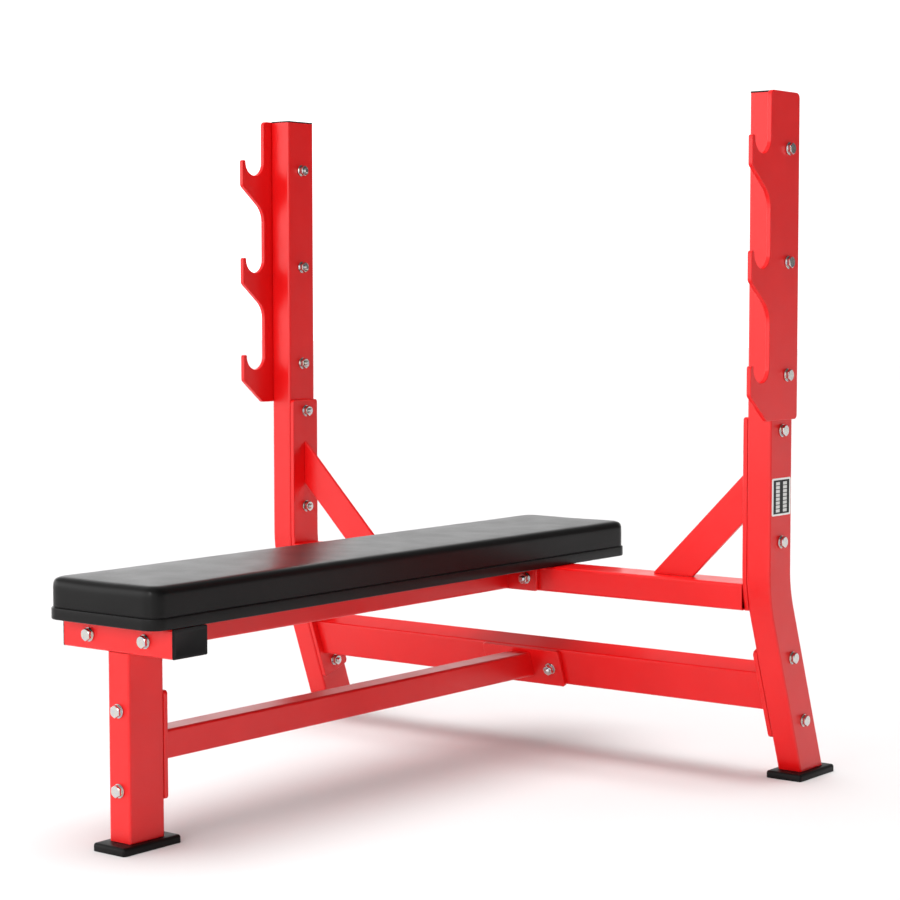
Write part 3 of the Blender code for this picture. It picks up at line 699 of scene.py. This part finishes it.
def fastener(name):
    """Head, washers, shank and nut in one piece, on the CAD bolt of that name."""
    start, axis, length, has_nut = bolt_line(name)
    parts = [copy_piece(head, "part", Matrix.Translation((0, 0, HEAD_H)) @ Matrix.Rotation(math.pi, 4, "X")),
             copy_piece(washer, "part", Matrix.Translation((0, 0, HEAD_H)))]
    profile = thread_profile(THREADED if has_nut else THREADED_IN_WOOD, length)
    profile += [(CREST, profile[-1][1] - NECK), (CREST, HEAD_H - FIT), (0, HEAD_H - FIT)]
    parts.append(turned("part", profile, 28))
    if has_nut:
        seat = length - THREAD_OUT - NUT_H - WASHER_T
        parts += [copy_piece(washer, "part", Matrix.Translation((0, 0, seat))),
                  copy_piece(nut, "part", Matrix.Translation((0, 0, seat + WASHER_T)))]
    made = join(parts, name + "_set")
    made.data.transform(Matrix.Translation(start) @ axis.to_track_quat("Z", "Y").to_matrix().to_4x4())
    made.data.materials.clear()
    made.data.materials.append(ZINC)
    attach(made, "root")
    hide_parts(name)
    return made


sets = [fastener(name) for name in sorted(nodes) if "bolt" in name]
for shared in (head, nut, washer):
    bpy.data.objects.remove(shared)
print(len(sets), "fasteners,", sum(len(s.data.polygons) for s in sets), "faces")

# %% [markdown]
# ## Rubber feet
#
# Each foot is one moulding: a block that spreads the load, with a pillowed top edge and a spigot that
# plugs the tube. A bevelled cube gives the block. Its top is inset, narrowed to the tube's inside and
# extruded for the spigot, which leans with its leg.


# %% Blocks with rounded edges
def block(low, high, corner, corner_steps=6):
    """A box between two corners, with its upright edges rounded."""
    deselect_all()
    bpy.ops.mesh.primitive_cube_add(size=1, location=(low + high) / 2)
    obj = bpy.context.object
    obj.data.transform(Matrix.Diagonal((*(high - low), 1)))
    pick(obj, lambda e: abs((e.verts[0].co - e.verts[1].co).normalized().z) > 0.9, "EDGE")
    bpy.ops.mesh.bevel(offset=corner, segments=corner_steps, affect="EDGES")
    leave_edit(obj)
    obj.data.transform(obj.matrix_world)
    obj.matrix_world = Matrix.Identity(4)
    return obj


def round_rim(obj, z, radius, steps=5):
    """Rounds the closed edge loop that lies at height z."""
    pick(obj, lambda e: all(abs(v.co.z - z) < 0.05 * MM for v in e.verts) and len(e.link_faces) == 2
         and any(abs(f.normal.z) < 0.5 for f in e.link_faces), "EDGE")
    bpy.ops.mesh.bevel(offset=radius, segments=steps, affect="EDGES")
    leave_edit(obj)


print("block helpers ready")

# %% Spigots
TUBE_SIZE = (50 * MM, 80 * MM)
WALL_FIT = 3.3 * MM             # tube wall and clearance round a spigot
FIRST_INSET = 0.3 * MM


def narrow(obj, way, size):
    """Selects the face that looks along way, up or down, and draws in a smaller copy of it, of that size."""
    pick(obj, lambda f: f.normal.dot(way) > 0.99 and f.calc_area() > 0.5 * size[0] * size[1])
    bpy.ops.mesh.inset(thickness=FIRST_INSET)
    face = next(f for f in bmesh.from_edit_mesh(obj.data).faces if f.select)
    low, high = corners([v.co for v in face.verts])
    bpy.ops.transform.resize(value=(size[0] / (high.x - low.x), size[1] / (high.y - low.y), 1),
                             center_override=(low + high) / 2)


def grow_spigot(obj, way, tube, depth, lean=0.0):
    """Narrows a face to the inside of a tube, and extrudes it by depth."""
    narrow(obj, way, (tube[0] - 2 * WALL_FIT, tube[1] - 2 * WALL_FIT))
    step = way * depth + AXIS_Y * lean * depth
    bpy.ops.mesh.extrude_region_move(TRANSFORM_OT_translate={"value": tuple(step)})
    leave_edit(obj)


print("a spigot is", [round((side - 2 * WALL_FIT) / MM, 1) for side in TUBE_SIZE], "mm")

# %% Feet
FOOT_H, FOOT_CORNER = 14 * MM, 6 * MM
FOOT_PILLOW, FOOT_SOLE = 5 * MM, 0.8 * MM


def rubber_foot(name, tube_size, lean):
    low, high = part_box(name)
    base = block(low, Vector((high.x, high.y, FOOT_H)), FOOT_CORNER)
    round_rim(base, FOOT_H, FOOT_PILLOW)
    round_rim(base, 0, FOOT_SOLE, 2)
    grow_spigot(base, AXIS_Z, tube_size, high.z - FOOT_H, -math.tan(lean))
    made = settle(base, name + "_rubber", RUBBER, 35)
    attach(made, "root")
    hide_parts(name)
    return made


slanted_section = (TUBE_SIZE[0], TUBE_SIZE[1] / math.cos(LEG_TURN))
feet = [rubber_foot("front_foot", TUBE_SIZE, 0)]
feet += [rubber_foot(f"{side}_foot", slanted_section, LEG_TURN) for side in ("left", "right")]
print([(f.name, len(f.data.polygons)) for f in feet])

# %% [markdown]
# ## The pad's board
#
# Under the foam lies a plywood board. Its edge is wrapped in the same black vinyl and stands a few
# millimetres proud of the cushion, with a fine groove between the two. The underside takes the four pad
# bolts.

# %% Wrapped board
BOARD_CORNER, BOARD_TOP_RIM, BOARD_LOW_RIM = 30 * MM, 1.8 * MM, 2.2 * MM
HOLE_R, HOLE_SPARE = BOLT_D / 2 + 0.5 * MM, 2 * MM


def wrapped_board():
    low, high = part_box("pad_board")
    made = block(low, high, BOARD_CORNER, 12)
    round_rim(made, high.z, BOARD_TOP_RIM)
    round_rim(made, low.z, BOARD_LOW_RIM, 3)
    return made


def drill_for_bolts(obj):
    """Clear holes for the four pad bolts in the underside."""
    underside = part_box("pad_board")[0].z
    for name in sorted(nodes):
        if name.startswith("pad_bolt"):
            low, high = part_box(name)
            deselect_all()
            bpy.ops.mesh.primitive_cylinder_add(vertices=32, radius=HOLE_R,
                                                depth=2 * (high.z - underside + HOLE_SPARE),
                                                location=(*(low.xy + high.xy) / 2, underside))
            cutter = bpy.context.object
            apply_modifier(obj, "BOOLEAN", object=cutter, operation="DIFFERENCE", solver="EXACT")
            bpy.data.objects.remove(cutter)


board = wrapped_board()
drill_for_bolts(board)
board = settle(board, "pad_board_wrap", EDGE_VINYL, 35)
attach(board, "root")
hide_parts("pad_board")
print(board.name, len(board.data.polygons), "faces")

# %% [markdown]
# ## The cushion
#
# A block of firm foam is covered by vinyl that is pulled down and stapled under the board. The cover's
# tension rounds the top edge and leaves the top with a slight crown. To get that form, the block starts a
# little too small, is remeshed evenly, and a cloth simulation blows it up like the foam that presses on
# the cover. The movement is capped and evened out between neighbours, as tight vinyl does, so that the
# pad keeps its crisp outline. The block also reaches a little below the board's top: once it is swollen,
# it is cut off flat there, which leaves a sharp seam line.

# %% Cushion block
BURIED = 9 * MM
SIDE_SLACK, TOP_SLACK = 0.8 * MM, 1.0 * MM
PAD_CORNER, PAD_TOP_RIM, PAD_LOW_RIM = 25 * MM, 11 * MM, 2.0 * MM


def cushion_block():
    """The foam before it swells, smaller than the CAD solid by the slack on its sides and top."""
    low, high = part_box("pad_cushion")
    low = low + Vector((SIDE_SLACK, SIDE_SLACK, -BURIED))
    high = high - Vector((SIDE_SLACK, SIDE_SLACK, TOP_SLACK))
    made = block(low, high, PAD_CORNER - SIDE_SLACK, 10)
    round_rim(made, high.z, PAD_TOP_RIM, 7)
    round_rim(made, low.z, PAD_LOW_RIM, 3)
    return made


cushion = cushion_block()
print("block", len(cushion.data.polygons), "faces")


# %% Move points evenly
def points_of(mesh):
    flat = np.empty(len(mesh.vertices) * 3)
    mesh.vertices.foreach_get("co", flat)
    return flat.reshape(-1, 3)


def evened(steps, mesh, rounds):
    """Each point's movement averaged with its neighbours', rounds times over."""
    ends = np.empty(len(mesh.edges) * 2, int)
    mesh.edges.foreach_get("vertices", ends)
    ends = ends.reshape(-1, 2)
    ends = np.concatenate([ends, ends[:, ::-1]])
    share = 1 + np.bincount(ends[:, 0], minlength=len(steps))[:, None]
    for _ in range(rounds):
        near = np.stack([np.bincount(ends[:, 0], steps[ends[:, 1], k], len(steps)) for k in range(3)], axis=1)
        steps = (steps + near) / share
    return steps


print("the block's points:", points_of(cushion.data).shape)

# %% Blow it up
VOXEL, PRESSURE, FRAMES = 6 * MM, 4.0, 20
MOST_MOVE, EVENING_ROUNDS = 2.0 * MM, 40


def swollen_by(pad):
    """How far each point of the pad moves while a cloth under pressure swells it."""
    rest = points_of(pad.data)
    cloth = pad.modifiers.new("foam under vinyl", "CLOTH")
    settings = cloth.settings
    settings.quality = 6
    settings.mass = 0.5
    settings.tension_stiffness = settings.compression_stiffness = 25
    settings.shear_stiffness, settings.bending_stiffness = 12, 4
    settings.use_pressure = True
    settings.uniform_pressure_force = PRESSURE
    settings.effector_weights.gravity = 0
    cloth.point_cache.frame_start, cloth.point_cache.frame_end = 1, FRAMES
    for number in range(1, FRAMES + 1):
        bpy.context.scene.frame_set(number)
    steps = points_of(pad.evaluated_get(bpy.context.evaluated_depsgraph_get()).data) - rest
    pad.modifiers.remove(cloth)
    bpy.context.scene.frame_set(1)
    return steps


def inflate(pad):
    """Remeshes the pad and moves its points as it swells, none further than MOST_MOVE."""
    apply_modifier(pad, "REMESH", mode="VOXEL", voxel_size=VOXEL, adaptivity=0)
    steps = swollen_by(pad)
    steps *= np.minimum(1, MOST_MOVE / np.maximum(np.linalg.norm(steps, axis=1), 1e-9))[:, None]
    steps = evened(steps, pad.data, EVENING_ROUNDS)
    pad.data.vertices.foreach_set("co", (points_of(pad.data) + steps).ravel())
    pad.data.update()
    return np.linalg.norm(steps, axis=1).max()


swell = inflate(cushion)
print("swelled by up to", round(swell / MM, 2), "mm;", len(cushion.data.polygons), "faces")


# %% Smooth, cut off and place the cushion
def fill_box(pad, low, high):
    """Stretches the pad so that its sides and top just reach the box."""
    points = [v.co for v in pad.data.vertices]
    old_low, old_high = corners(points)
    for c in points:
        for k in (0, 1):
            c[k] = low[k] + (c[k] - old_low[k]) * (high[k] - low[k]) / (old_high[k] - old_low[k])
        c.z += high.z - old_high.z


def finish_cushion(pad):
    low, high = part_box("pad_cushion")
    apply_modifier(pad, "SMOOTH", factor=0.5, iterations=3)
    apply_modifier(pad, "SUBSURF", levels=1, render_levels=1)
    fill_box(pad, low, high)
    pick(pad, lambda f: True)
    bpy.ops.mesh.bisect(plane_co=(0, 0, low.z), plane_no=(0, 0, 1), use_fill=True, clear_inner=True)
    made = settle(pad, "pad_cushion_foam", VINYL, 60)
    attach(made, "root")
    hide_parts("pad_cushion")
    return made


cushion = finish_cushion(cushion)
pad_low, pad_high = corners([v.co for v in cushion.data.vertices])
print("cushion from z", round(pad_low.z, 4), "to", round(pad_high.z, 4))

# %% [markdown]
# ## Plastic plugs and caps
#
# The uprights' tops and the crossbar's ends are closed by moulded plugs, pushed in as far as their thin
# flange. The flange has a rounded rim round a shallow recess, so it catches a soft line of light.

# %% Caps
CAP_CORNER, CAP_RIM = 3 * MM, 1.0 * MM
RECESS_MARGIN, RECESS_STEP, RECESS_DEPTH = 11 * MM, 0.8 * MM, 0.3 * MM
PLUG_FLANGE, CAP_FLANGE = 2.5 * MM, 2.0 * MM


def tube_cap(name, facing, thick):
    """A flange of that thickness with its spigot, in the CAD cap's place. It looks along facing."""
    low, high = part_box(name)
    width, length = TUBE_SIZE
    deep = abs((high - low).dot(facing))
    made = block(Vector((-width / 2, -length / 2, deep - thick)), Vector((width / 2, length / 2, deep)),
                 CAP_CORNER, 5)
    round_rim(made, deep, CAP_RIM, 4)
    narrow(made, AXIS_Z, (width - RECESS_MARGIN, length - RECESS_MARGIN))
    bpy.ops.mesh.inset(thickness=RECESS_STEP, depth=-RECESS_DEPTH)
    leave_edit(made)
    grow_spigot(made, -AXIS_Z, TUBE_SIZE, deep - thick)
    turn = Matrix.Identity(4)
    if facing.x:
        turn = Matrix(((0, 0, facing.x), (0, 1, 0), (-facing.x, 0, 0))).to_4x4()
    made.data.transform(Matrix.Translation((low + high) / 2 - facing * deep / 2) @ turn)
    made = settle(made, name + "_moulding", PLASTIC, 35)
    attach(made, "root")
    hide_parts(name)
    return made


caps = [tube_cap(f"{side}_top_plug", AXIS_Z, PLUG_FLANGE) for side in ("left", "right")]
caps += [tube_cap(f"crossbar_{side}_cap", facing, CAP_FLANGE)
         for side, facing in (("left", -AXIS_X), ("right", AXIS_X))]
print([(c.name, len(c.data.polygons)) for c in caps])
